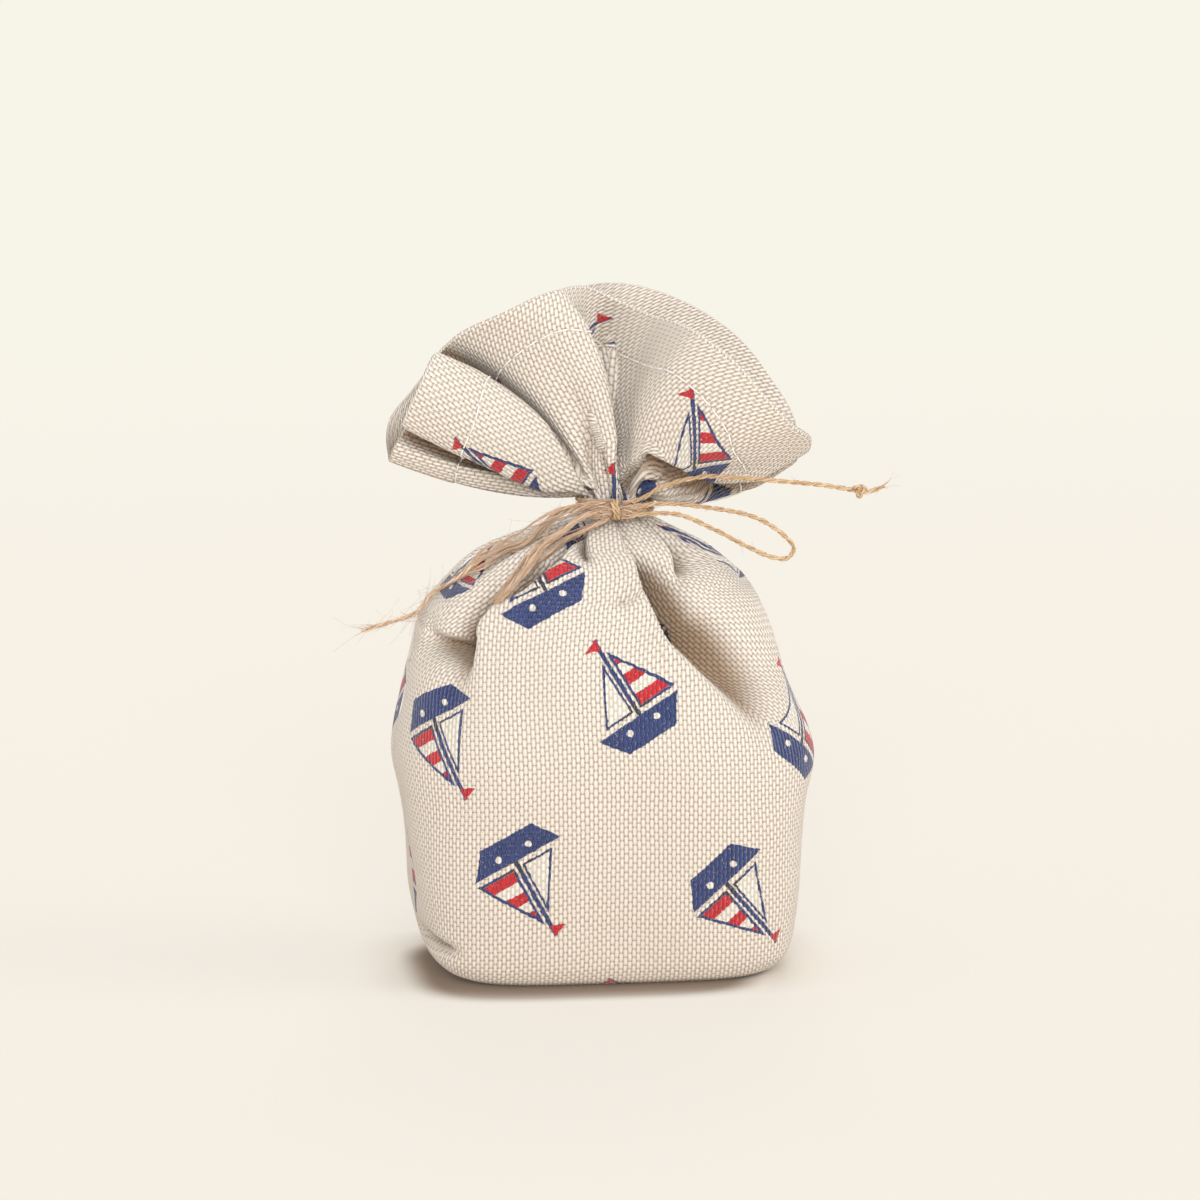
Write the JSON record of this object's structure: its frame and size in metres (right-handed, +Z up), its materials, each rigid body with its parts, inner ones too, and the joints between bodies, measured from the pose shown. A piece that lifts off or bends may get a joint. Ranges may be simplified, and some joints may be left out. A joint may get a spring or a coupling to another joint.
{
  "type": "fabric pouch",
  "caption": "Filled standing pouch of coarse woven cotton, gathered at the neck and tied in a bow with jute twine under a hemmed ruffle.",
  "frame": {"origin": "under the middle of the bag, on the surface that it stands on", "axes": "+Z up through the neck, -Y the front with the knot, +X the right side as seen from the front"},
  "size_m": [0.1145, 0.066, 0.1511],
  "materials": {
    "cloth": "matt, coarse basket weave",
    "thread": "matt sewing thread",
    "twine": "rough, hairy jute",
    "filling": "matt, loose grain"
  },
  "bodies": {
    "root": {"front_panel": "cloth", "back_panel": "cloth", "filling": "filling", "left_side_seam": "thread", "right_side_seam": "thread", "bottom_seam": "thread", "left_corner_seam": "thread", "right_corner_seam": "thread", "hem_needle_thread": "thread", "hem_bobbin_thread": "thread", "twine_wrap": "twine", "twine_knot": "twine", "right_bow_loop": "twine", "left_bow_loop": "twine", "left_twine_tail": "twine", "right_twine_tail": "twine", "right_tail_end": "twine", "right_tail_knot": "twine"}
  },
  "joints": []
}
